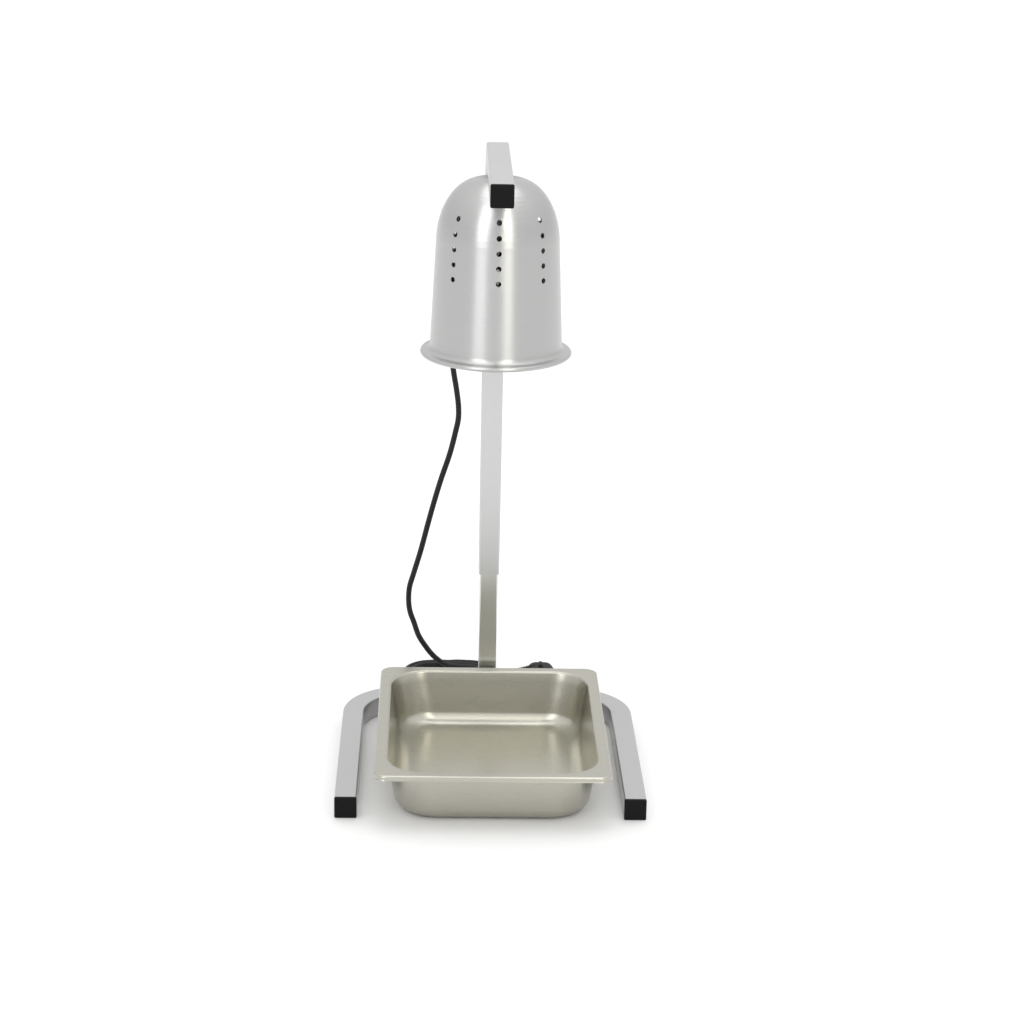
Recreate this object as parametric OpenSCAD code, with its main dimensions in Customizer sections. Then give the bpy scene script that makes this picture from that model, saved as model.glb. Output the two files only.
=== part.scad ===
// Table-top heat lamp warmer: a bell-shaped lamp on a telescopic square mast,
// standing on a U-shaped base that takes a half-size gastronorm pan.
// Millimetres, +Z up, front towards -Y, origin on the table at the base's centre.

/* [Base] */
// Width of the U-shaped base
base_w = 350; // [340:1:380]
// Depth of the U-shaped base, end caps included
base_d = 330; // [320:1:340]
// Outside radius of the base's two bends
base_bend_r = 78; // [70:1:85]
// Outside size of the square base tube
tube_w = 25; // [25:1:25]
// Wall of the base tube and of the lower post
tube_wall = 1.5; // [1.2:0.1:2]

/* [Mast] */
// Outside size of the lower post
post_w = 22; // [22:1:22]
// Height of the top of the lower post
post_top = 425; // [400:5:440]
// Wall of the sliding upper tube
sleeve_wall = 1.2; // [1.2:0.1:1.2]
// Height of the sliding tube's lower end, as posed
sleeve_bottom = 182; // [180:1:240]
// Height of the top of the arm, as posed
arm_top = 718; // [710:1:730]
// Outside radius of the bend between the sleeve and the arm
arm_bend_r = 80; // [75:1:85]
// Thickness of the black end caps' visible flange
cap_flange = 3; // [2:0.5:4]

/* [Shade] */
// Diameter of the shade's rolled rim
rim_d = 170; // [168:1:172]
// Diameter of the shade's body just above the rim
bell_bottom_d = 148; // [146:1:150]
// Diameter of the shade's body below the shoulder
bell_top_d = 137; // [135:1:139]
// Overall height of the shade
shade_h = 197; // [195:1:199]
// Thickness of the spun sheet
shade_t = 1.2; // [1:0.1:1.5]
// Diameter of the vent holes
vent_d = 6; // [5:0.5:7]
// Height between two vent holes of one column
vent_pitch = 16.5; // [15:0.5:17]
// Vent holes in one column
vents_per_column = 5; // [3:1:5]
// Columns of vent holes round the shade
vent_columns = 8; // [4:1:8]

/* [Pan] */
// Depth of the pan's flange, front to back
pan_d = 325; // [325:1:325]
// Width of the pan's flange
pan_w = 265; // [265:1:265]
// Height of the pan
pan_h = 65; // [40:5:65]
// How far the pan stands out in front of the base
pan_overhang = 30; // [20:1:32]

/* [Cord] */
// Diameter of the mains lead
cord_d = 7; // [6:0.5:7]

/* [Hidden] */

$fn = 48;

// Colours
base_grey = [0.72, 0.73, 0.74];
sleeve_grey = [0.80, 0.81, 0.82];
steel = [0.62, 0.61, 0.57];
spun = [0.84, 0.84, 0.83];
black = [0.10, 0.10, 0.10];
zinc = [0.70, 0.71, 0.72];
brass = [0.78, 0.66, 0.38];
ceramic = [0.92, 0.91, 0.88];

// Square tube
corner_r = 2;
front_y = -base_d / 2;
back_y = base_d / 2;
rail_x = (base_w - tube_w) / 2;
tube_bore = tube_w - 2 * tube_wall;
sleeve_bore = tube_w - 2 * sleeve_wall;
post_bore = post_w - 2 * tube_wall;
mast_y = back_y - tube_w / 2;
arm_z = arm_top - tube_w / 2;
tube_front = front_y + cap_flange;
sliding_gap = 0.1;

// Hole through the back bar for the post's bolt
bolt_d = 8;
bolt_hole_d = 8.6;
bolt_access_d = 18;
bolt_head_af = 13;
bolt_head_h = 7;
washer_d = 16;
washer_h = 1.6;
anchor_h = 30;
bolt_in_anchor = 22;

// Clamp screw at the back of the sleeve
clamp_z = sleeve_bottom + 23;
clamp_bore_d = 8.1;
boss_af = 14;
boss_len = 8;
knob_r = 11;
knob_neck_y = back_y + boss_len + 2;
knob_back_y = back_y + pan_overhang;

// Spun shade, an outline in radius and height
shade_top_z = arm_top - tube_w;
rim_z = shade_top_z - shade_h;
flat_r = 28;
dome_r0 = 20;
bell_top_r = bell_top_d / 2;
bell_bottom_r = bell_bottom_d / 2;
shoulder_z = shade_top_z - 70;
dome_a = bell_top_r - dome_r0;
dome_start = acos((flat_r - dome_r0) / dome_a);
dome_b = (shade_top_z - shoulder_z) / sin(dome_start);
curl_r = 2.6;
curl_x = rim_d / 2 - curl_r;
curl_z = rim_z + curl_r;
flare_r = 7;
flare_sweep = 65;
flare_z = curl_z + 10;
vent_top_z = shade_top_z - 36;

// Threaded nipple that hangs the shade and the lampholder from the arm
nipple_d = 10;
nipple_bore_d = 7.8;
nipple_hole_d = 10.4;
washer_t = 1;
nut_h = 3.5;
nut_af = 14;
arm_floor_z = shade_top_z + sleeve_wall;
holder_top_z = shade_top_z - shade_t - washer_t - nut_h;
holder_cap_h = 14;
holder_body_top_z = holder_top_z - holder_cap_h;
holder_body_h = 36;
holder_mouth_z = holder_body_top_z - holder_body_h;
holder_r = 20;
nipple_top_z = arm_floor_z + washer_t + nut_h + 2;
nipple_bottom_z = holder_top_z - 9;

// Infrared reflector bulb
bulb_top_z = holder_mouth_z + 28.6;
bulb_len = 136;
bulb_r = 61;
bulb_bottom_z = bulb_top_z - bulb_len;
bulb_cap_r = 13.2;
bulb_cap_len = 25;

// Cord gland on the sleeve's back
gland_z = 612;
gland_hole_d = 12.4;
gland_thread_d = 12;
gland_end_y = back_y + pan_overhang;
face_gap = 0.3;

// Pan
pan_x = 2;
pan_y = front_y - pan_overhang + pan_d / 2;
pan_t = 0.8;
pan_flange = 12;
lip_h = 6;

// Hank of spare cord behind the base, in loops with round ends
hank_x1 = -70;
hank_x2 = -25;
hank_y = 262;
hank_outer_r = 35;
hank_h = 7;
tie_w = 12;

// Plug, lying on its edge with its pins towards the base
plug_x = 69;
plug_y = 214;
plug_r = 19;
plug_top = 36.5;
plug_t = 24;
plug_relief_z = 29;
plug_relief_x = plug_x - 31;

// Cord from the gland down to the hank
drop_route = [
    [0, gland_end_y + face_gap, 612], [-1, 209, 610], [-3, 222, 604], [-7, 232, 594],
    [-12, 238, 580], [-19, 241, 563], [-26, 242, 545], [-33, 242, 525], [-39, 241, 503],
    [-44, 240, 481], [-47, 240, 458], [-48, 240, 435], [-46, 240, 412], [-42, 242, 388],
    [-39, 245, 364], [-39, 246, 348], [-42, 247, 332], [-49, 248, 302], [-59, 250, 270],
    [-68, 253, 237], [-76, 255, 205], [-84, 259, 171], [-93, 263, 138], [-98, 265, 119],
    [-99, 267, 100], [-97, 269, 84], [-92, 271, 69], [-86, 274, 50], [-77, 277, 34],
    [-69, 278, 23], [-60, 279, 14], [-50, 280, 7], [-38, 283, 4]
];

// Cord from the hank's outer loop, round its right-hand end, to the plug
tail_route = [
    [-25, 297, 4], [-12, 295, 4], [0, 287, 4], [8, 275, 4], [10, 263, 4], [10, 252, 4],
    [9, 243, 5], [10, 235, 8], [13, 228, 11], [18, 222, 15], [24, 218, 19], [31, 215, 23],
    [plug_relief_x, plug_y, 25]
];

// Supply lead inside the sleeve and the arm, from the gland to the lampholder
bend_y = back_y - arm_bend_r;
bend_z = arm_top - arm_bend_r;
bend_mid_r = arm_bend_r - tube_w / 2;
lead_route = concat(
    [[0, back_y - 5, gland_z], [0, mast_y + 3, gland_z + 3], [0, mast_y, gland_z + 12]],
    [for (a = [0:15:90]) [0, bend_y + bend_mid_r * cos(a), bend_z + bend_mid_r * sin(a)]],
    [for (y = [60:-22:16]) [0, y, arm_z]],
    [[0, 9, arm_z - 0.5], [0, 3, arm_z - 2.5], [0, 0, nipple_top_z], [0, 0, holder_top_z],
     [0, 0, holder_body_top_z + 6]]
);

// ---- Shared shapes ----

// Square with rounded corners, centred
module round_square(w, r) {
    square([w - 2 * r, w], center = true);
    square([w, w - 2 * r], center = true);
    for (x = [-1, 1], y = [-1, 1]) translate([x * (w / 2 - r), y * (w / 2 - r)]) circle(r);
}

// Cross-section of a square tube
module tube_section(w, wall) {
    difference() {
        round_square(w, corner_r);
        round_square(w - 2 * wall, corner_r - wall + 0.6);
    }
}

// Straight tube along +Z
module tube_run(w, wall, len) {
    linear_extrude(len) tube_section(w, wall);
}

// Quarter bend in the XY plane, round the origin, from +X to +Y
module tube_bend(w, wall, outer_r) {
    rotate_extrude(angle = 90) translate([outer_r - w / 2, 0]) tube_section(w, wall);
}

// Hexagonal prism along +Z
module hex(af, h) {
    cylinder(d = af / cos(30), h = h, $fn = 6);
}

// Annulus along +Z
module ring(d, bore, h) {
    difference() {
        cylinder(d = d, h = h);
        translate([0, 0, -1]) cylinder(d = bore, h = h + 2);
    }
}

// Black plastic end plug: a bevelled flange at y = 0 and a ribbed stem towards +Y
module end_cap(bore) {
    stem = bore - 0.4;
    bevel = 0.8;
    rotate([-90, 0, 0]) {
        hull() {
            linear_extrude(0.1) round_square(tube_w - 2 * bevel, corner_r);
            translate([0, 0, bevel]) linear_extrude(cap_flange - bevel)
                round_square(tube_w, corner_r);
        }
        translate([0, 0, cap_flange]) difference() {
            linear_extrude(14) square(stem - 1.6, center = true);
            translate([0, 0, 1]) linear_extrude(14) square(stem - 4, center = true);
        }
        for (z = [3, 7, 11]) translate([0, 0, cap_flange + z]) difference() {
            linear_extrude(1) round_square(stem, 1.4);
            translate([0, 0, -1]) linear_extrude(3) square(stem - 4, center = true);
        }
    }
}

// Unit vector, and the two directions across a route at one of its points
function unit(v) = v / norm(v);
function heading(p, i) = unit(p[min(i + 1, len(p) - 1)] - p[max(i - 1, 0)]);
function across(t) = unit(cross(t, abs(t.x) > 0.8 ? [0, 1, 0] : [1, 0, 0]));

// Round tube swept along a route, as one closed solid
module swept_cord(route, d, sides = 8) {
    n = len(route);
    rings = [for (i = [0:n - 1])
        let (t = heading(route, i), u = across(t), v = cross(t, u))
        for (k = [0:sides - 1])
            route[i] + d / 2 * (cos(k * 360 / sides) * u + sin(k * 360 / sides) * v)];
    walls = [for (i = [0:n - 2], k = [0:sides - 1])
        let (a = i * sides + k, b = i * sides + (k + 1) % sides)
        [a, b, b + sides, a + sides]];
    ends = [[for (k = [sides - 1:-1:0]) k], [for (k = [0:sides - 1]) (n - 1) * sides + k]];
    polyhedron(points = rings, faces = concat(
        [for (f = walls) [f[3], f[2], f[1], f[0]]],
        [for (e = ends) [for (k = [len(e) - 1:-1:0]) e[k]]]));
}

// ---- Base ----

module base_frame() {
    leg_back = back_y - base_bend_r;
    color(base_grey) translate([0, 0, tube_w / 2]) difference() {
        union() {
            for (side = [-1, 1]) {
                translate([side * rail_x, tube_front, 0]) rotate([-90, 0, 0])
                    tube_run(tube_w, tube_wall, leg_back - tube_front);
                translate([side * (base_w / 2 - base_bend_r), leg_back, 0])
                    rotate([0, 0, side > 0 ? 0 : 90]) tube_bend(tube_w, tube_wall, base_bend_r);
            }
            translate([base_bend_r - base_w / 2, mast_y, 0]) rotate([90, 0, 90])
                tube_run(tube_w, tube_wall, base_w - 2 * base_bend_r);
        }
        translate([0, mast_y, 0]) cylinder(d = bolt_hole_d, h = tube_w);
        translate([0, mast_y, -tube_w]) cylinder(d = bolt_access_d, h = tube_w);
    }
}

module base_cap_left() {
    color(black) translate([-rail_x, front_y, tube_w / 2]) end_cap(tube_bore);
}

module base_cap_right() {
    color(black) translate([rail_x, front_y, tube_w / 2]) end_cap(tube_bore);
}

// ---- Lower post ----

module post() {
    color(steel) translate([0, mast_y, tube_w]) tube_run(post_w, tube_wall, post_top - tube_w);
}

// Threaded block welded into the foot of the post
module post_anchor() {
    color(zinc) translate([0, mast_y, tube_w]) difference() {
        translate([0, 0, anchor_h / 2]) cube([post_bore - 2, post_bore - 2, anchor_h], center = true);
        translate([0, 0, -1]) cylinder(d = bolt_d + 0.1, h = anchor_h + 2);
    }
}

module post_bolt() {
    head_z = tube_w - tube_wall - washer_h;
    color(zinc) translate([0, mast_y, head_z]) difference() {
        union() {
            translate([0, 0, -bolt_head_h]) cylinder(d = bolt_head_af, h = bolt_head_h);
            cylinder(d = bolt_d, h = washer_h + tube_wall + bolt_in_anchor);
        }
        translate([0, 0, -bolt_head_h - 1]) hex(6, 5);
    }
}

module post_washer() {
    color(zinc) translate([0, mast_y, tube_w - tube_wall - washer_h])
        ring(washer_d, bolt_d + 0.4, washer_h);
}

// Plastic guide in the top of the post, which the sleeve slides over
module post_guide() {
    stem_h = 16;
    flange_h = 3;
    color(black) translate([0, mast_y, post_top]) {
        linear_extrude(flange_h) round_square(sleeve_bore - 2 * sliding_gap, 1.6);
        translate([0, 0, -stem_h]) difference() {
            linear_extrude(stem_h) square(post_bore - 0.2 - 1, center = true);
            translate([0, 0, -1]) linear_extrude(stem_h) square(post_bore - 5, center = true);
        }
    }
}

// ---- Sliding sleeve and arm ----

module lamp_tube() {
    color(sleeve_grey) difference() {
        union() {
            translate([0, mast_y, sleeve_bottom])
                tube_run(tube_w, sleeve_wall, bend_z - sleeve_bottom);
            translate([0, bend_y, bend_z]) rotate([90, 0, 90])
                tube_bend(tube_w, sleeve_wall, arm_bend_r);
            translate([0, tube_front, arm_z]) rotate([-90, 0, 0])
                tube_run(tube_w, sleeve_wall, bend_y - tube_front);
        }
        translate([0, 0, arm_z - tube_w]) cylinder(d = nipple_hole_d, h = tube_w);
        translate([0, mast_y, clamp_z]) rotate([-90, 0, 0]) cylinder(d = bolt_hole_d, h = tube_w);
        translate([0, mast_y, gland_z]) rotate([-90, 0, 0]) cylinder(d = gland_hole_d, h = tube_w);
    }
}

module arm_cap() {
    color(black) translate([0, front_y, arm_z]) end_cap(sleeve_bore);
}

// Threaded boss welded to the back of the sleeve
module clamp_boss() {
    color(zinc) translate([0, back_y, clamp_z]) rotate([-90, 0, 0]) difference() {
        hex(boss_af, boss_len);
        translate([0, 0, -1]) cylinder(d = clamp_bore_d, h = boss_len + 2);
    }
}

module clamp_stud() {
    tip_y = mast_y + post_w / 2 + face_gap;
    color(zinc) translate([0, tip_y, clamp_z]) rotate([-90, 0, 0])
        cylinder(d = bolt_d, h = knob_back_y - 6 - tip_y);
}

// Star-shaped plastic knob moulded round the stud
module clamp_knob() {
    head_y = knob_neck_y + 5;
    lobes = 6;
    lobe_r = 4;
    color(black) translate([0, knob_neck_y, clamp_z]) rotate([-90, 0, 0]) difference() {
        union() {
            cylinder(r = 8, h = head_y - knob_neck_y);
            translate([0, 0, head_y - knob_neck_y]) {
                cylinder(r = knob_r - 2.5, h = knob_back_y - head_y);
                for (k = [0:lobes - 1]) rotate(k * 360 / lobes) translate([knob_r - lobe_r, 0, 0])
                    cylinder(r = lobe_r, h = knob_back_y - head_y);
            }
        }
        translate([0, 0, -1]) cylinder(d = bolt_d, h = knob_back_y - 6 - knob_neck_y + 1);
    }
}

// ---- Shade ----

// Points round an arc from angle a to angle b, as radius and height
function arc(cx, cz, rx, rz, a, b, steps) =
    [for (i = [0:steps]) let (t = a + (b - a) * i / steps) [cx + rx * cos(t), cz + rz * sin(t)]];

// The sheet's surface from the top hole to the rolled rim, moved inwards by t
function shade_side(t) = concat(
    [[nipple_hole_d / 2, shade_top_z - t], [flat_r - t / 4, shade_top_z - t]],
    arc(dome_r0, shoulder_z, dome_a - t, dome_b - t, dome_start - 2, 0, 14),
    arc(bell_bottom_r + flare_r, flare_z, flare_r + t, flare_r + t, 180, 180 + flare_sweep, 6),
    arc(curl_x, curl_z, curl_r - t, curl_r - t, 90, -180, 14)
);

module shade() {
    outer = shade_side(0);
    inner = shade_side(shade_t);
    color(spun) difference() {
        rotate_extrude($fn = 96)
            polygon(concat(outer, [for (i = [len(inner) - 1:-1:0]) inner[i]]));
        for (c = [0:vent_columns - 1], k = [0:vents_per_column - 1])
            rotate(-90 + c * 360 / vent_columns)
                translate([bell_top_r / 2, 0, vent_top_z - k * vent_pitch])
                    rotate([0, 90, 0]) cylinder(d = vent_d, h = bell_top_r, $fn = 24);
    }
}

// ---- Nipple, nuts and lampholder ----

module nipple() {
    color(zinc) translate([0, 0, nipple_bottom_z])
        ring(nipple_d, nipple_bore_d, nipple_top_z - nipple_bottom_z);
}

module nipple_nuts() {
    for (z = [arm_floor_z + washer_t, shade_top_z - shade_t - washer_t - nut_h])
        color(zinc) translate([0, 0, z]) difference() {
            hex(nut_af, nut_h);
            translate([0, 0, -1]) cylinder(d = nipple_d, h = nut_h + 2);
        }
}

module lock_washers() {
    for (z = [arm_floor_z, shade_top_z - shade_t - washer_t])
        color(zinc) translate([0, 0, z]) ring(18, nipple_hole_d, washer_t);
}

// Ring terminal of the earth wire, on top of the nut inside the arm
module earth_tag() {
    color(brass) translate([0, 0, arm_floor_z + washer_t + nut_h]) {
        ring(15, nipple_hole_d, 0.8);
        translate([-3, -21, 0]) cube([6, 14, 0.8]);
    }
}

// Pressed cover of the lampholder, threaded on the nipple
module holder_cap() {
    color(zinc) translate([0, 0, holder_body_top_z]) difference() {
        union() {
            cylinder(r = holder_r, h = holder_cap_h - 6);
            translate([0, 0, holder_cap_h - 6]) cylinder(r1 = holder_r, r2 = 11, h = 6);
        }
        translate([0, 0, -1]) cylinder(r = holder_r - 2, h = holder_cap_h - 7);
        cylinder(d = nipple_d, h = holder_cap_h + 1);
    }
}

// Ceramic body with its stepped bore
module holder_body() {
    shell_top = 28;
    color(ceramic) translate([0, 0, holder_mouth_z]) difference() {
        union() {
            cylinder(r = holder_r - 1, h = holder_body_h);
            cylinder(r = holder_r + 1, h = 6);
        }
        translate([0, 0, -1]) cylinder(r = 15, h = shell_top + 2);
        cylinder(d = 9, h = holder_body_h + 1);
    }
}

// Screw shell in the ceramic body
module holder_shell() {
    color(brass) translate([0, 0, holder_mouth_z + 4]) ring(30, 27.2, 23);
}

// Sprung centre contact
module holder_contact() {
    color(brass) translate([0, 0, bulb_top_z + face_gap]) {
        cylinder(r = 3.5, h = 1);
        cylinder(r = 2, h = 6);
    }
}

// ---- Bulb ----

module bulb_cap() {
    color(zinc) translate([0, 0, bulb_top_z - bulb_cap_len]) difference() {
        union() {
            cylinder(r = bulb_cap_r, h = bulb_cap_len - 3);
            translate([0, 0, bulb_cap_len - 3]) cylinder(r1 = bulb_cap_r, r2 = 4, h = 3);
        }
        translate([0, 0, -1]) cylinder(r = bulb_cap_r - 0.6, h = bulb_cap_len - 4);
    }
}

// Outline of the glass: neck, flared reflector and domed lens, moved inwards by t
function glass_side(t) = let (z0 = bulb_top_z - bulb_cap_len, top = t > 0 ? 4 : 12) concat(
    [[0, z0 + top], [12 - t, z0 + top], [12 - t, z0 + 1]],
    [for (i = [0:8]) let (s = i / 8)
        [13 - t + (bulb_r - 14) * pow(s, 0.75), z0 - 2 - s * (z0 - 2 - bulb_bottom_z - 32)]],
    arc(bulb_r - 7, bulb_bottom_z + 24, 7 - t, 7 - t, 20, -60, 5),
    [for (i = [1:6]) let (r = (bulb_r - 4) * (1 - i / 6))
        [r, bulb_bottom_z + t + 18 * pow(r / bulb_r, 2)]]
);

module bulb_glass() {
    color([0.9, 0.75, 0.7, 0.6]) rotate_extrude($fn = 72) difference() {
        polygon(glass_side(0));
        polygon(glass_side(1.5));
    }
}

module bulb_filament() {
    coil_r = 8;
    coil_z = bulb_top_z - 78;
    color(zinc) {
        translate([0, 0, coil_z]) rotate_extrude(angle = 300) translate([coil_r, 0])
            circle(0.8, $fn = 16);
        for (a = [0, 300]) rotate(a) translate([coil_r, 0, coil_z])
            cylinder(r = 0.6, h = bulb_top_z - bulb_cap_len - coil_z + 2);
    }
}

// ---- Cord entry ----

// Screwed gland with a tapered bend protector
module cord_gland() {
    hex_t = 5;
    stem = sleeve_wall + 4;
    color(black) translate([0, back_y, gland_z]) rotate([-90, 0, 0]) difference() {
        union() {
            translate([0, 0, -stem]) cylinder(d = gland_thread_d, h = stem + 1);
            hex(17, hex_t);
            translate([0, 0, hex_t]) cylinder(d = 15, h = 5);
            translate([0, 0, hex_t + 5])
                cylinder(d1 = 13, d2 = 9.4, h = gland_end_y - back_y - hex_t - 5);
        }
        translate([0, 0, -stem - 1]) cylinder(d = cord_d + 0.4, h = gland_end_y - back_y + stem + 2);
    }
}

module gland_nut() {
    color(black) translate([0, back_y - sleeve_wall - 3, gland_z]) rotate([-90, 0, 0])
        difference() {
            hex(15, 3);
            translate([0, 0, -1]) cylinder(d = gland_thread_d, h = 5);
        }
}

module inner_lead() {
    color(black) swept_cord(lead_route, cord_d - 0.4);
}

// ---- Pan ----

// Rounded rectangle of half sizes a and b with corner radius r, at height z
function pan_ring(a, b, r, z) = [for (q = [0:3], i = [0:7])
    let (t = q * 90 + i * 90 / 7, sx = q == 0 || q == 3 ? 1 : -1, sy = q < 2 ? 1 : -1)
    [sx * (a - r) + r * cos(t), sy * (b - r) + r * sin(t), z]];

// Half-size inset from the flange, corner radius and height of each ring of the sheet:
// t = 0 is the underside and t = pan_t the food side
function pan_steps(t) = let (side = pan_flange + 3, draft = 6, r = 18) concat(
    [[0.2 - t, 14, pan_h - lip_h], [0.8 - t, 14, pan_h - 2.4], [1.8 - t, 13, pan_h - pan_t + t],
     [pan_flange - 1, 42, pan_h - pan_t + t], [pan_flange + 1.2 + t, 44, pan_h - 2.4],
     [side + t, 44, pan_h - 5]],
    [for (i = [0:6]) let (a = i * 90 / 6)
        [side + draft + t + (r - t) * (1 - cos(a)), 44 - (1 - cos(a)) * 6, r - (r - t) * sin(a)]]
);

function pan_skin(t) = [for (s = pan_steps(t))
    pan_ring(pan_w / 2 - 0.6 - s[0], pan_d / 2 - 0.6 - s[0], s[1], s[2])];

module pan() {
    under = pan_skin(0);
    rings = concat([for (i = [len(under) - 1:-1:0]) under[i]], pan_skin(pan_t));
    n = len(rings[0]);
    m = len(rings);
    color(steel) translate([pan_x, pan_y, 0]) polyhedron(
        points = [for (r = rings) each r],
        faces = concat(
            [[for (k = [0:n - 1]) k], [for (k = [n - 1:-1:0]) (m - 1) * n + k]],
            [for (i = [0:m - 2], k = [0:n - 1])
                [i * n + k, (i + 1) * n + k, (i + 1) * n + (k + 1) % n, i * n + (k + 1) % n]]));
}

// ---- Cord and plug ----

module cord_drop() {
    color(black) swept_cord(drop_route, cord_d);
}

module cord_tail() {
    color(black) swept_cord(tail_route, cord_d);
}

// Outline of the hank's loops
module hank_outline(r) {
    for (x = [hank_x1, hank_x2]) translate([x, hank_y]) circle(r);
    translate([hank_x1, hank_y - r]) square([hank_x2 - hank_x1, 2 * r]);
}

module cord_hank() {
    color(black) linear_extrude(hank_h) difference() {
        hank_outline(hank_outer_r + cord_d / 2);
        hank_outline(hank_outer_r - 2.5 * cord_d);
    }
}

// Strap over the hank's front runs
module cord_tie() {
    strap_t = 0.8;
    bundle_w = 3 * cord_d;
    bundle_y = hank_y - hank_outer_r + (bundle_w - cord_d) / 2;
    color(black) translate([(hank_x1 + hank_x2 - tie_w) / 2, bundle_y, 0]) difference() {
        translate([0, -bundle_w / 2 - strap_t, 0])
            cube([tie_w, bundle_w + 2 * strap_t, hank_h + strap_t]);
        translate([-1, -bundle_w / 2, -1]) cube([tie_w + 2, bundle_w, hank_h + 1]);
    }
}

// Angled moulded plug with its tapered lead entry
module plug_body() {
    relief_start = plug_x - 8;
    color(black) difference() {
        union() {
            intersection() {
                translate([plug_x, plug_y - plug_t / 2, plug_r]) rotate([-90, 0, 0])
                    cylinder(r = plug_r, h = plug_t);
                translate([plug_x - plug_r, plug_y - plug_t, 0])
                    cube([2 * plug_r, 2 * plug_t, plug_top]);
            }
            translate([plug_x - 2.5, plug_y - 6, plug_top - 1]) cube([5, 14, 4.4]);
            translate([relief_start, plug_y, plug_relief_z]) rotate([0, -90 - 9, 0])
                cylinder(d1 = 14, d2 = 8.4, h = relief_start - plug_relief_x);
        }
        translate([plug_x, plug_y - plug_t / 2 - 1, plug_r]) rotate([-90, 0, 0])
            for (x = [-9.5, 9.5]) translate([x, 0, 0]) cylinder(d = 4.8, h = 9);
    }
}

module plug_pins() {
    color(zinc) for (x = [-9.5, 9.5])
        translate([plug_x + x, plug_y - plug_t / 2 - 18.5, plug_r]) rotate([-90, 0, 0]) {
            translate([0, 0, 1]) cylinder(d = 4.8, h = 25.5);
            cylinder(d1 = 3.4, d2 = 4.8, h = 1);
        }
}

base_frame();
base_cap_left();
base_cap_right();
post();
post_anchor();
post_bolt();
post_washer();
post_guide();
lamp_tube();
arm_cap();
clamp_boss();
clamp_stud();
clamp_knob();
shade();
nipple();
nipple_nuts();
lock_washers();
earth_tag();
holder_cap();
holder_body();
holder_shell();
holder_contact();
bulb_cap();
bulb_glass();
bulb_filament();
cord_gland();
gland_nut();
inner_lead();
pan();
cord_drop();
cord_hank();
cord_tie();
cord_tail();
plug_body();
plug_pins();
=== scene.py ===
import math

import bmesh
import bpy
from mathutils import Matrix, Vector


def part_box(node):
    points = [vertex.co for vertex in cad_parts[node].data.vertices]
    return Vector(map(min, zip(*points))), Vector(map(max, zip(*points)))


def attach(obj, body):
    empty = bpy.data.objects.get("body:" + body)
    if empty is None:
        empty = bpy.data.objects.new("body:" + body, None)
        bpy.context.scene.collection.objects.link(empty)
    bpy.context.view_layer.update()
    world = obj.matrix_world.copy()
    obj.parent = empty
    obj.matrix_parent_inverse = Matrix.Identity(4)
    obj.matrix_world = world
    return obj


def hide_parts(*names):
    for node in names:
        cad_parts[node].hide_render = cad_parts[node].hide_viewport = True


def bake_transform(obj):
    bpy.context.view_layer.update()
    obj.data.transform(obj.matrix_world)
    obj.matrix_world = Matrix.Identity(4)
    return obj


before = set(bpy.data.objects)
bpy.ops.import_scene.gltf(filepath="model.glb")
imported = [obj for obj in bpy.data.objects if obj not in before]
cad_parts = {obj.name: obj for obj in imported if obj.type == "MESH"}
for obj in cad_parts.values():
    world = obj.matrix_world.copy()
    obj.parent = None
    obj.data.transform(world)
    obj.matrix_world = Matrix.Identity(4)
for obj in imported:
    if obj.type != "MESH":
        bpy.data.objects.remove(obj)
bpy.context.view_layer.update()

scene = bpy.context.scene
MM = 0.001  # metres in a millimetre


# ---------------------------------------------------------------- camera

CAMERA_AT = (-0.06177, -2.6591, 1.18708)
YAW, PITCH, ROLL = 0.0315, 0.3189, 0.0213
FIELD_OF_VIEW = 23.66


def make_camera():
    """Camera that stands before the lamp, a little above it, and looks down at it."""
    look = Vector((math.sin(YAW) * math.cos(PITCH), math.cos(YAW) * math.cos(PITCH),
                   -math.sin(PITCH)))
    right = Vector((math.cos(YAW), -math.sin(YAW), 0))
    up = right.cross(look)
    side = math.cos(ROLL) * right + math.sin(ROLL) * up
    top = math.cos(ROLL) * up - math.sin(ROLL) * right
    data = bpy.data.cameras.new("camera")
    data.sensor_width = 36
    data.angle = math.radians(FIELD_OF_VIEW)
    data.clip_end = 60
    cam = bpy.data.objects.new("camera", data)
    cam.matrix_world = Matrix((
        (side.x, top.x, -look.x, CAMERA_AT[0]), (side.y, top.y, -look.y, CAMERA_AT[1]),
        (side.z, top.z, -look.z, CAMERA_AT[2]), (0, 0, 0, 1)))
    scene.collection.objects.link(cam)
    scene.camera = cam


make_camera()
scene.view_settings.view_transform = "Standard"
scene.view_settings.look = "None"


# ---------------------------------------------------------------- mesh helpers

def new_piece(name, points, faces, smooth=True):
    """A mesh object with its faces turned outwards."""
    mesh = bpy.data.meshes.new(name)
    mesh.from_pydata([tuple(p) for p in points], [], faces)
    bm = bmesh.new()
    bm.from_mesh(mesh)
    bmesh.ops.recalc_face_normals(bm, faces=bm.faces)
    bm.to_mesh(mesh)
    bm.free()
    mesh.polygons.foreach_set("use_smooth", [smooth] * len(mesh.polygons))
    piece = bpy.data.objects.new(name, mesh)
    scene.collection.objects.link(piece)
    return piece


def smooth_by_angle(piece, degrees):
    piece.data.set_sharp_from_angle(angle=math.radians(degrees))


def lofted(rings):
    """Points and faces of a closed skin through rings of equal count."""
    n, m = len(rings[0]), len(rings)
    points = [p for ring in rings for p in ring]
    faces = []
    for i in range(m - 1):
        j = i + 1
        for k in range(n):
            q = (k + 1) % n
            faces.append((i * n + k, j * n + k, j * n + q, i * n + q))
    faces += [tuple(range(n)), tuple((m - 1) * n + k for k in reversed(range(n)))]
    return points, faces


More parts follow.
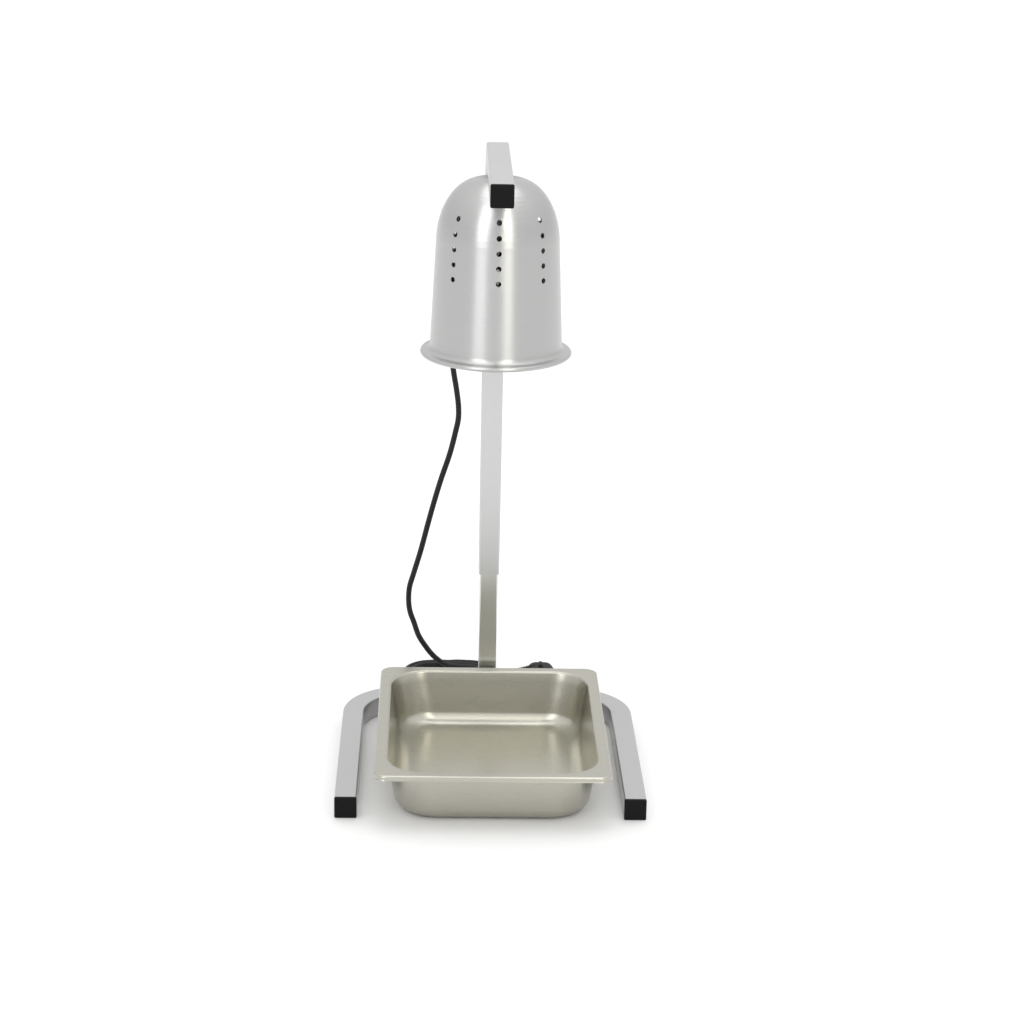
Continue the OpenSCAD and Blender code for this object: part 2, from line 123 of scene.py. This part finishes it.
def smooth_route(knots, step):
    """Centripetal Catmull-Rom line through the knots, resampled every step."""
    p = [2 * knots[0] - knots[1]] + knots + [2 * knots[-1] - knots[-2]]
    spans, passes = 16, 6
    line = []
    for i in range(1, len(p) - 2):
        a, b, c, d = p[i - 1:i + 3]
        t0 = 0
        t1 = (b - a).length ** 0.5
        t2 = t1 + (c - b).length ** 0.5
        t3 = t2 + (d - c).length ** 0.5
        for s in range(spans):
            t = t1 + (t2 - t1) * s / spans
            a1 = a * ((t1 - t) / (t1 - t0)) + b * ((t - t0) / (t1 - t0))
            a2 = b * ((t2 - t) / (t2 - t1)) + c * ((t - t1) / (t2 - t1))
            a3 = c * ((t3 - t) / (t3 - t2)) + d * ((t - t2) / (t3 - t2))
            b1 = a1 * ((t2 - t) / (t2 - t0)) + a2 * ((t - t0) / (t2 - t0))
            b2 = a2 * ((t3 - t) / (t3 - t1)) + a3 * ((t - t1) / (t3 - t1))
            line.append(b1 * ((t2 - t) / (t2 - t1)) + b2 * ((t - t1) / (t2 - t1)))
    line.append(p[-2])
    for _ in range(passes):
        inner = [(a + 2 * b + c) / 4 for a, b, c in zip(line, line[1:], line[2:])]
        line = [line[0]] + inner + [line[-1]]
    out, left = [line[0]], step
    for a, b in zip(line, line[1:]):
        d = (b - a).length
        while d >= left:
            a = a + (b - a) * (left / d)
            d -= left
            left = step
            out.append(a)
        left -= d
    if (out[-1] - line[-1]).length > step * 0.3:
        out.append(line[-1])
    else:
        out[-1] = line[-1]
    return out


def tube_rings(line, radius, sides):
    """Rings along a line, carried without twist. radius is a number or a function of the
    distance from the start."""
    rings, along = [], 0
    side = None
    for i, p in enumerate(line):
        a, b = line[max(i - 1, 0)], line[min(i + 1, len(line) - 1)]
        ahead = (b - a).normalized()
        if side is None:
            side = ahead.orthogonal().normalized()
        side = (side - ahead * side.dot(ahead)).normalized()
        other = ahead.cross(side)
        if i:
            along += (p - line[i - 1]).length
        r = radius(along) if callable(radius) else radius
        rings.append([p + side * (r * math.cos(2 * math.pi * k / sides))
                      + other * (r * math.sin(2 * math.pi * k / sides)) for k in range(sides)])
    return rings


# ---------------------------------------------------------------- materials

def material(name, color, metallic=0.0, rough=0.5, **sockets):
    """A material and its shader. Other sockets are named with _ for each space."""
    m = bpy.data.materials.new(name)
    m.use_nodes = True
    shader = m.node_tree.nodes["Principled BSDF"]
    shader.inputs["Base Color"].default_value = (*color, 1)
    shader.inputs["Metallic"].default_value = metallic
    shader.inputs["Roughness"].default_value = rough
    for key, value in sockets.items():
        shader.inputs[key.replace("_", " ")].default_value = value
    return m, shader


def add(m, kind, **values):
    """A node, with its settings and its sockets' values by name."""
    node = m.node_tree.nodes.new(kind)
    for key, value in values.items():
        if key in node.bl_rna.properties:
            setattr(node, key, value)
        else:
            node.inputs[key.replace("_", " ")].default_value = value
    return node


def link(m, a, b):
    m.node_tree.links.new(a, b)


def object_vector(m, scale=(1, 1, 1)):
    coord = add(m, "ShaderNodeTexCoord")
    mapping = add(m, "ShaderNodeMapping")
    mapping.inputs["Scale"].default_value = scale
    link(m, coord.outputs["Object"], mapping.inputs["Vector"])
    return mapping.outputs["Vector"]


def noise(m, vector, scale, detail=2.0, rough=0.5):
    n = add(m, "ShaderNodeTexNoise", Scale=scale, Detail=detail, Roughness=rough)
    link(m, vector, n.inputs["Vector"])
    return n.outputs["Fac"]


def ranged(m, value, low, high, at=(0.3, 0.7)):
    """The value, stretched from the range at to the range from low to high."""
    r = add(m, "ShaderNodeMapRange")
    for key, v in zip(("From Min", "From Max", "To Min", "To Max"), (*at, low, high)):
        r.inputs[key].default_value = v
    link(m, value, r.inputs["Value"])
    return r.outputs["Result"]


def mixed(m, fac, a, b):
    """From a to b as fac goes from 0 to 1. Each is a colour or another node's output."""
    x = add(m, "ShaderNodeMix", data_type="RGBA")
    link(m, fac, x.inputs["Factor"])
    for socket, c in zip(("A", "B"), (a, b)):
        sock = [s for s in x.inputs if s.name == socket and s.type == "RGBA"][0]
        if isinstance(c, tuple):
            sock.default_value = (*c, 1)
        else:
            link(m, c, sock)
    return [s for s in x.outputs if s.type == "RGBA"][0]


def bumped(m, shader, height, distance):
    b = add(m, "ShaderNodeBump", Distance=distance, Strength=1.0)
    link(m, height, b.inputs["Height"])
    link(m, b.outputs["Normal"], shader.inputs["Normal"])


def painted_edge_highlight(m, low, high, distance):
    """Mask for a painted highlight along edges: low on flat faces, towards high on edges, from
    the rounding of the normals.
    """
    bevel = add(m, "ShaderNodeBevel", samples=4)
    bevel.inputs["Radius"].default_value = distance
    geo = add(m, "ShaderNodeNewGeometry")
    dot = add(m, "ShaderNodeVectorMath", operation="DOT_PRODUCT")
    link(m, bevel.outputs["Normal"], dot.inputs[0])
    link(m, geo.outputs["Normal"], dot.inputs[1])
    return ranged(m, dot.outputs["Value"], low, high, at=(0.98, 0.75))


def brushed(name, light, dark, rough, grain, bump, spread=0.05):
    """Metal with a fine grain: grain is the number of lines per metre along x, y and z."""
    m, s = material(name, light, metallic=1.0, rough=rough)
    lines = noise(m, object_vector(m, grain), 1.0, 3.0, 0.6)
    cloud = noise(m, object_vector(m), 9.0, 2.0)
    tone = add(m, "ShaderNodeMath", operation="ADD")
    link(m, lines, tone.inputs[0])
    link(m, cloud, tone.inputs[1])
    link(m, mixed(m, ranged(m, tone.outputs[0], 0, 1, at=(0.7, 1.3)), dark, light),
         s.inputs["Base Color"])
    link(m, ranged(m, lines, rough - spread, rough + spread), s.inputs["Roughness"])
    bumped(m, s, lines, bump)
    return m


def moulded(name, light, dark, rough, grain=900.0, bump=0.00006, **sockets):
    """Plastic, rubber or ceramic with a fine moulded grain, and a highlight painted on its edges
    as a paler colour.
    """
    m, s = material(name, dark, rough=rough, **sockets)
    fine = noise(m, object_vector(m), grain, 2.0)
    cloud = noise(m, object_vector(m), 40.0, 3.0)
    tone = mixed(m, ranged(m, cloud, 0, 1), dark, light)
    # painted highlight: the edges get a paler colour where light would catch them, not any wear
    edge = tuple(min(1, 1.7 * c + 0.01) for c in light)
    link(m, mixed(m, painted_edge_highlight(m, 0, 0.8, 0.0006), tone, edge), s.inputs["Base Color"])
    link(m, ranged(m, fine, rough - 0.07, rough + 0.09), s.inputs["Roughness"])
    bumped(m, s, fine, bump)
    return m


def spun_metal():
    """Spun aluminium: grooves run round the axis, on the sides and on the top."""
    m, s = material("spun_aluminium", (0.6, 0.6, 0.6), metallic=1.0, rough=0.30,
                    Anisotropic=0.78, Anisotropic_Rotation=0.25)
    coord = add(m, "ShaderNodeTexCoord")
    split = add(m, "ShaderNodeSeparateXYZ")
    link(m, coord.outputs["Object"], split.inputs[0])
    flat = add(m, "ShaderNodeCombineXYZ")
    link(m, split.outputs["X"], flat.inputs["X"])
    link(m, split.outputs["Y"], flat.inputs["Y"])
    radius = add(m, "ShaderNodeVectorMath", operation="LENGTH")
    link(m, flat.outputs[0], radius.inputs[0])
    along = add(m, "ShaderNodeMath", operation="SUBTRACT")
    link(m, radius.outputs["Value"], along.inputs[0])
    link(m, split.outputs["Z"], along.inputs[1])
    tones = []
    for turns, lines in ((9, 3400), (16, 1100)):
        spin = add(m, "ShaderNodeVectorMath", operation="SCALE")
        link(m, flat.outputs[0], spin.inputs[0])
        spin.inputs["Scale"].default_value = turns
        pitch = add(m, "ShaderNodeMath", operation="MULTIPLY")
        link(m, along.outputs[0], pitch.inputs[0])
        pitch.inputs[1].default_value = lines
        cut = add(m, "ShaderNodeSeparateXYZ")
        link(m, spin.outputs[0], cut.inputs[0])
        v = add(m, "ShaderNodeCombineXYZ")
        link(m, cut.outputs["X"], v.inputs["X"])
        link(m, cut.outputs["Y"], v.inputs["Y"])
        link(m, pitch.outputs[0], v.inputs["Z"])
        tones.append(noise(m, v.outputs[0], 1.0, 3.0, 0.55))
    both = add(m, "ShaderNodeMath", operation="ADD")
    link(m, tones[0], both.inputs[0])
    link(m, tones[1], both.inputs[1])
    link(m, mixed(m, ranged(m, both.outputs[0], 0, 1, at=(0.72, 1.28)),
                  (0.485, 0.49, 0.488), (0.515, 0.518, 0.512)), s.inputs["Base Color"])
    link(m, ranged(m, tones[1], 0.29, 0.36), s.inputs["Roughness"])
    bumped(m, s, both.outputs[0], 0.000004)
    tangent = add(m, "ShaderNodeTangent", direction_type="RADIAL", axis="Z")
    link(m, tangent.outputs[0], s.inputs["Tangent"])
    return m


MATERIALS = {
    "base_tube": brushed("satin_base_tube", (0.53, 0.532, 0.535), (0.51, 0.512, 0.515), 0.34,
                         (500, 500, 500), 0.000002),
    "arm_tube": brushed("satin_arm_tube", (0.60, 0.605, 0.607), (0.58, 0.585, 0.587), 0.34,
                        (1500, 1500, 60), 0.000001),
    "post_steel": brushed("post_steel", (0.66, 0.665, 0.645), (0.65, 0.655, 0.635), 0.24,
                          (900, 900, 20), 0.0000005, spread=0.015),
    "pan_steel": brushed("pan_steel", (0.485, 0.475, 0.42), (0.475, 0.465, 0.41), 0.285,
                         (40, 900, 900), 0.0000005, spread=0.015),
    "spun_aluminium": spun_metal(),
    "black_plastic": moulded("black_plastic", (0.0065, 0.006, 0.006), (0.0045, 0.0042, 0.0042),
                             0.50, Specular_IOR_Level=0.13),
    "zinc_steel": brushed("zinc_steel", (0.62, 0.63, 0.64), (0.46, 0.47, 0.49), 0.3,
                          (300, 300, 300), 0.00002),
    "brass_parts": brushed("brass_parts", (0.72, 0.55, 0.26), (0.56, 0.42, 0.19), 0.28,
                           (260, 260, 260), 0.00002),
    "white_ceramic": moulded("white_ceramic", (0.80, 0.79, 0.75), (0.72, 0.71, 0.67), 0.22,
                             500.0, 0.00003, Coat_Weight=0.6, Coat_Roughness=0.08),
    "cord_rubber": moulded("cord_rubber", (0.010, 0.010, 0.010), (0.007, 0.007, 0.007), 0.5,
                           700.0, 0.00008, Specular_IOR_Level=0.3),
    "plug_rubber": moulded("plug_rubber", (0.011, 0.011, 0.011), (0.008, 0.008, 0.008), 0.55,
                           1100.0, 0.00008, Specular_IOR_Level=0.3),
    "plug_metal": brushed("plug_metal", (0.70, 0.66, 0.56), (0.55, 0.51, 0.43), 0.24,
                          (700, 90, 700), 0.00001),
    "filament_wire": brushed("filament_wire", (0.42, 0.41, 0.40), (0.30, 0.29, 0.28), 0.35,
                             (800, 800, 800), 0.00001),
}


def bulb_material():
    """Reflector bulb: aluminised inside above, frosted on its face."""
    m, s = material("bulb_glass", (0.9, 0.9, 0.9), rough=0.06)
    coord = add(m, "ShaderNodeTexCoord")
    split = add(m, "ShaderNodeSeparateXYZ")
    link(m, coord.outputs["Object"], split.inputs[0])
    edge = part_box("bulb_glass")[0][2] + 34 * MM
    soft = 0.8 * MM
    above = ranged(m, split.outputs["Z"], 0, 1, at=(edge - soft, edge + soft))
    stipple = noise(m, object_vector(m), 420.0, 2.0)
    link(m, mixed(m, above, (0.93, 0.92, 0.90), (0.80, 0.80, 0.79)), s.inputs["Base Color"])
    link(m, above, s.inputs["Metallic"])
    link(m, ranged(m, stipple, 0.10, 0.22), s.inputs["Roughness"])
    bumped(m, s, stipple, 0.00008)
    return m


MATERIALS["bulb_glass"] = bulb_material()


def dress(piece, key):
    """Gives the piece one material."""
    piece.data.materials.clear()
    piece.data.materials.append(MATERIALS[key])


# ---------------------------------------------------------------- cord

CORD_D = 0.007
# The lead's route in millimetres: from the gland to the hank, and from the hank to the plug
DROP = [
    (0, 195.3, 612), (-1, 209, 610), (-3, 222, 604), (-7, 232, 594),
    (-12, 238, 580), (-19, 241, 563), (-26, 242, 545), (-33, 242, 525), (-39, 241, 503),
    (-44, 240, 481), (-47, 240, 458), (-48, 240, 435), (-46, 240, 412), (-42, 242, 388),
    (-39, 245, 364), (-39, 246, 348), (-42, 247, 332), (-49, 248, 302), (-59, 250, 270),
    (-68, 253, 237), (-76, 255, 205), (-84, 259, 171), (-93, 263, 138), (-98, 265, 119),
    (-99, 267, 100), (-97, 269, 84), (-92, 271, 69), (-86, 274, 50), (-77, 277, 34),
    (-69, 278, 23), (-60, 279, 14), (-50, 280, 7), (-38, 283, 4),
]
TAIL = [
    (-25, 297, 4), (-12, 295, 4), (0, 287, 4), (8, 275, 4), (10, 263, 4), (10, 252, 4),
    (9, 243, 5), (10, 235, 8), (13, 228, 11), (18, 222, 15), (24, 218, 19), (31, 215, 23),
    (38, 214, 25),
]
HANK_LEFT, HANK_RIGHT = (-70, 262), (-25, 262)
LAID_Z = 3.6  # height of the lead's centre where it lies on the table
# The hank's end turns, in order: side, then the radius where each starts and ends
TURNS = [("right", 21, 21), ("left", 21, 28), ("right", 28, 28), ("left", 28, 35)]


def hank_route():
    """Flat loops side by side, clockwise from above, from the inside out."""
    knots = []
    for end, r0, r1 in TURNS:
        cx, cy = HANK_RIGHT if end == "right" else HANK_LEFT
        for i in range(9):
            r = r0 + (r1 - r0) * i / 8
            a = math.radians((90 if end == "right" else 270) - 22.5 * i)
            lift = 0.9 * max(0, math.cos(a + 0.6)) if end == "left" else 0
            knots.append((cx + r * math.cos(a), cy + r * math.sin(a), LAID_Z + lift))
        side = -1 if end == "right" else 1
        lifts = (0, 0.2, 0) if end == "right" else (0.4, 0, 0.7)
        for x, lift in zip((-40, -48, -56) if end == "right" else (-56, -47, -38), lifts):
            knots.append((x, cy + side * r1, LAID_Z + lift))
    return knots


def make_cord():
    knots = [Vector(p) * MM for p in DROP + hank_route() + TAIL]
    step, sides = 2.2 * MM, 14
    line = smooth_route(knots, step)
    points, faces = lofted(tube_rings(line, CORD_D / 2, sides))
    cord = new_piece("lead", points, faces)
    dress(cord, "cord_rubber")
    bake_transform(cord)
    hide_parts("cord_drop", "cord_hank", "cord_tail")
    return cord, line


def make_tie():
    """Coated wire tie, wound twice round the hank's front runs and twisted on top."""
    cx = (HANK_LEFT[0] + HANK_RIGHT[0]) / 2 * MM
    cy, cz, half_w, half_h = 0.2375, 0.0039, 0.0075, 0.0040
    top = cz + half_h
    wire_r, apart = 0.0007, 0.0028
    turn_steps = 45
    line = []
    for i in range(2 * turn_steps + 1):
        a = 2 * math.pi * i / turn_steps + math.pi / 2
        c, s = math.cos(a), math.sin(a)
        y = cy + half_w * math.copysign(abs(c) ** 0.6, c)
        z = cz + half_h * math.copysign(abs(s) ** 0.8, s)
        line.append(Vector((cx + apart * (i / (2 * turn_steps) - 0.5), y, max(z, 0.0008))))
    points, faces = lofted(tube_rings(line, wire_r, 8))
    length, rise, twist_r, twist_steps = 0.0126, 0.0042, 0.0008, 30
    for sign in (0, 1):
        twist = [Vector((cx, cy, top))]
        for i in range(1, twist_steps + 1):
            a = math.pi * sign + 2 * math.pi * i / 9
            lift = top + rise * math.sin(min(1, i / 12) * math.pi / 2)
            away = length * (i / twist_steps) ** 1.3
            twist.append(Vector((cx + twist_r * math.cos(a) + away,
                                 cy + twist_r * math.sin(a) - 0.3 * away,
                                 lift + twist_r / 2 * math.cos(a))))
        p, f = lofted(tube_rings(twist, wire_r, 8))
        n = len(points)
        points += p
        faces += [tuple(k + n for k in face) for face in f]
    tie = new_piece("wire_tie", points, faces)
    dress(tie, "plug_rubber")
    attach(tie, "base")
    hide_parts("cord_tie")
    return tie


cord, cord_line = make_cord()
wire_tie = make_tie()


# ---------------------------------------------------------------- plug

PLUG_X, PLUG_Y, PLUG_R = 0.069, 0.214, 0.019
PLUG_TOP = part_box("plug_body")[1][2] - 0.0054  # the flat along its top, below the rib


def flattened(z):
    """A height on the plug's round outline, eased into that flat."""
    ease = 0.0010
    below = PLUG_TOP - ease
    return z if z < below else below + ease * math.tanh((z - below) / ease)


def make_plug():
    """Round angled plug: a rimmed disc with a grip rib and a ribbed, tapered lead entry."""
    # outline of the disc as radius and depth from its middle
    profile = [(0.0, -0.012), (0.0155, -0.012), (0.0178, -0.0117), (0.0187, -0.0106),
               (0.0190, -0.0092), (0.0190, -0.0052), (0.0188, -0.0044), (0.0188, -0.0036),
               (0.0190, -0.0028), (0.0190, 0.0062), (0.0186, 0.0086), (0.0174, 0.0104),
               (0.0155, 0.0114), (0.0132, 0.0117), (0.0124, 0.0112), (0.0116, 0.0117),
               (0.006, 0.0119), (0.0, 0.012)]
    n, flutes, flute_depth = 96, 24, 0.0002
    rings = []
    for radius, y in profile[1:-1]:
        ring = []
        for k in range(n):
            a = 2 * math.pi * k / n
            grip = 0
            if -0.0028 < y < 0.0062 and radius > 0.018:
                grip = flute_depth * math.cos(flutes * a)
            ring.append(Vector((PLUG_X + (radius + grip) * math.cos(a), PLUG_Y + y,
                                flattened(PLUG_R + (radius + grip) * math.sin(a)))))
        rings.append(ring)
    points, faces = lofted(rings)
    disc = new_piece("plug_moulding", points, faces)
    smooth_by_angle(disc, 40)
    # grip rib on the top edge
    rib = []
    foot = PLUG_TOP - 0.001
    for y, half, rise in ((-0.006, 0.0017, 0.0032), (-0.005, 0.0024, 0.0040),
                          (0.0, 0.0025, 0.0042), (0.006, 0.0024, 0.0040),
                          (0.008, 0.0014, 0.0028)):
        rib.append([Vector((PLUG_X + half * c, PLUG_Y + y, foot + rise * s)) for c, s in
                    ((-1.35, 0), (-1.05, 0.62), (-0.75, 0.92), (-0.3, 1), (0.3, 1),
                     (0.75, 0.92), (1.05, 0.62), (1.35, 0))])
    p, f = lofted(rib)
    ridge = new_piece("plug_grip", p, f)
    smooth_by_angle(ridge, 50)
    # tapered lead entry with ribs
    start = Vector((PLUG_X - 0.006, PLUG_Y, 0.0293))
    end = Vector((PLUG_X - 0.0307, PLUG_Y, 0.0254))
    line = [start.lerp(end, i / 60) for i in range(61)]
    total = (end - start).length

    def relief_radius(s):
        f = s / total
        r = 0.0070 - 0.0028 * f
        ribs = 0.55 < (f * 7.5 + 0.1) % 1 and 0.22 < f < 0.93
        return r - (0.0009 if ribs else 0) + (0.0003 if f > 0.94 else 0)

    p, f = lofted(tube_rings(line, relief_radius, 32))
    relief = new_piece("plug_relief", p, f)
    smooth_by_angle(relief, 35)
    for piece in (disc, ridge, relief):
        dress(piece, "plug_rubber")
        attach(piece, "base")
    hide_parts("plug_body")
    return [disc, ridge, relief]


plug_pieces = make_plug()


# ---------------------------------------------------------------- pan

PAN_LOW, PAN_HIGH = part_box("pan")
SHEET = 0.78  # thickness in mm


def pan_profile():
    """Food side of the sheet from the lip's edge to the floor, in mm: inset from the pan's
    outline, height and corner radius."""
    pts = [(0.0, 59.0, 14), (0.15, 59.5, 14), (0.45, 60.2, 14), (0.6, 61.2, 14), (0.6, 62.6, 14)]
    for i in range(1, 8):
        a = math.radians(90 * i / 7)
        pts.append((0.6 + 2.4 * (1 - math.cos(a)), 62.6 + 2.4 * math.sin(a), 14))
    pts += [(4.5, 65.0, 16), (7.0, 65.0, 24), (10.0, 65.0, 38)]
    for i in range(9):
        a = math.radians(82 * i / 8)
        pts.append((11.6 + 2.8 * math.sin(a), 62.2 + 2.8 * math.cos(a), 41 + 2 * i / 8))
    pts += [(15.9, 52.0, 44), (18.1, 39.0, 44), (20.6, 25.0, 44)]
    draft, fillet = math.radians(8), 17.2
    for i in range(17):
        a = draft + math.radians(82 * i / 16)
        pts.append((21.9 + fillet * (math.cos(draft) - math.cos(a)), 18.0 - fillet * math.sin(a),
                    44 - 6 * (1 - math.cos(a))))
    pts += [(42.0, 0.8, 38), (60.0, 0.82, 30), (90.0, 0.85, 20)]
    return pts


def pan_ring(inset, z, corner):
    """A rounded rectangle at height z."""
    cx, cy = (PAN_LOW.x + PAN_HIGH.x) / 2, (PAN_LOW.y + PAN_HIGH.y) / 2
    a = (PAN_HIGH.x - PAN_LOW.x) / 2 / MM - inset
    b = (PAN_HIGH.y - PAN_LOW.y) / 2 / MM - inset
    ring = []
    for q, (sx, sy) in enumerate(((1, 1), (-1, 1), (-1, -1), (1, -1))):
        for i in range(19):
            t = math.radians(90 * q + 90 * i / 18)
            ring.append(Vector((cx + (sx * (a - corner) + corner * math.cos(t)) * MM,
                                cy + (sy * (b - corner) + corner * math.sin(t)) * MM, z * MM)))
    return ring


def make_pan():
    """Pressed steel pan: a thin sheet with its lip turned down."""
    top = pan_profile()
    under = []
    for i, (s0, z0, c) in enumerate(top):
        a, b = top[max(i - 1, 0)], top[min(i + 1, len(top) - 1)]
        ds, dz = b[0] - a[0], b[1] - a[1]
        n = math.hypot(ds, dz)
        under.append((s0 + SHEET * dz / n, z0 - SHEET * ds / n, c))
    rings = [pan_ring(*p) for p in reversed(under)] + [pan_ring(*p) for p in top]
    points, faces = lofted(rings)
    pan = new_piece("gastronorm_pan", points, faces)
    smooth_by_angle(pan, 50)
    dress(pan, "pan_steel")
    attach(pan, "pan")
    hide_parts("pan")


make_pan()


# ---------------------------------------------------------------- CAD nodes' materials

NODE_MATERIAL = {
    "base_frame": "base_tube", "base_cap_left": "black_plastic",
    "base_cap_right": "black_plastic", "post": "post_steel", "post_anchor": "zinc_steel",
    "post_bolt": "zinc_steel", "post_washer": "zinc_steel", "post_guide": "black_plastic",
    "lamp_tube": "arm_tube", "arm_cap": "black_plastic", "clamp_boss": "zinc_steel",
    "clamp_stud": "zinc_steel", "clamp_knob": "black_plastic", "shade": "spun_aluminium",
    "nipple": "zinc_steel", "nipple_nuts": "zinc_steel", "lock_washers": "zinc_steel",
    "earth_tag": "brass_parts", "holder_cap": "zinc_steel", "holder_body": "white_ceramic",
    "holder_shell": "brass_parts", "holder_contact": "brass_parts",
    "bulb_cap": "brass_parts", "bulb_glass": "bulb_glass", "bulb_filament": "filament_wire",
    "cord_gland": "black_plastic", "gland_nut": "black_plastic", "inner_lead": "cord_rubber",
    "pan": "pan_steel", "cord_drop": "cord_rubber", "cord_hank": "cord_rubber",
    "cord_tie": "plug_rubber", "cord_tail": "cord_rubber", "plug_body": "plug_rubber",
    "plug_pins": "plug_metal",
}

for name, key in NODE_MATERIAL.items():
    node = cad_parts[name]
    for piece in node if isinstance(node, (list, tuple)) else [node]:
        for slot in piece.material_slots:
            slot.material = MATERIALS[key]


# ---------------------------------------------------------------- light and floor

def make_floor():
    corners = [(-30, -12, 0), (30, -12, 0), (30, 40, 0), (-30, 40, 0)]
    floor = new_piece("floor", corners, [(0, 1, 2, 3)], smooth=False)
    m, s = material("pale_floor", (0.95, 0.95, 0.95), rough=0.85)
    link(m, mixed(m, noise(m, object_vector(m), 60.0, 2.0), (0.945, 0.945, 0.945),
                  (0.955, 0.955, 0.955)), s.inputs["Base Color"])
    s.inputs["Specular IOR Level"].default_value = 0.2
    floor.data.materials.append(m)


def make_light(name, at, aim, size, power, color=(1, 1, 1)):
    """A soft box at one place, turned towards another."""
    data = bpy.data.lights.new(name, "AREA")
    data.shape = "RECTANGLE"
    data.size, data.size_y = size
    data.energy = power
    data.color = color
    lamp = bpy.data.objects.new(name, data)
    at, aim = Vector(at), Vector(aim)
    turn = (aim - at).to_track_quat("-Z", "Y").to_matrix().to_4x4()
    lamp.matrix_world = Matrix.Translation(at) @ turn
    scene.collection.objects.link(lamp)
    return lamp


def make_world():
    """A white studio that is brighter above than round the sides."""
    world = bpy.data.worlds.new("studio")
    world.use_nodes = True
    nodes, links = world.node_tree.nodes, world.node_tree.links
    coord = nodes.new("ShaderNodeTexCoord")
    split = nodes.new("ShaderNodeSeparateXYZ")
    ramp = nodes.new("ShaderNodeValToRGB")
    for element, (at, tone) in zip(ramp.color_ramp.elements, ((0.0, 0.80), (0.85, 1.14))):
        element.position = at
        element.color = (tone, tone, 0.995 * tone, 1)
    links.new(coord.outputs["Generated"], split.inputs[0])
    links.new(split.outputs["Z"], ramp.inputs["Fac"])
    links.new(ramp.outputs["Color"], nodes["Background"].inputs["Color"])
    scene.world = world


make_world()
make_floor()
make_light("overhead", (0.1, 0.3, 3.4), (0, 0, 0.2), (2.4, 2.4), 22)
for name, at, size, power, color in (
        ("strip_left", (-1.35, -2.3, 1.9), (1.1, 3.4), 22, (1, 1, 1)),
        ("strip_right", (0.85, -2.5, 1.9), (0.8, 3.4), 20, (1.0, 0.97, 0.84))):
    strip = make_light(name, at, (0, 0, 0.6), size, power, color)
    strip.visible_diffuse = False
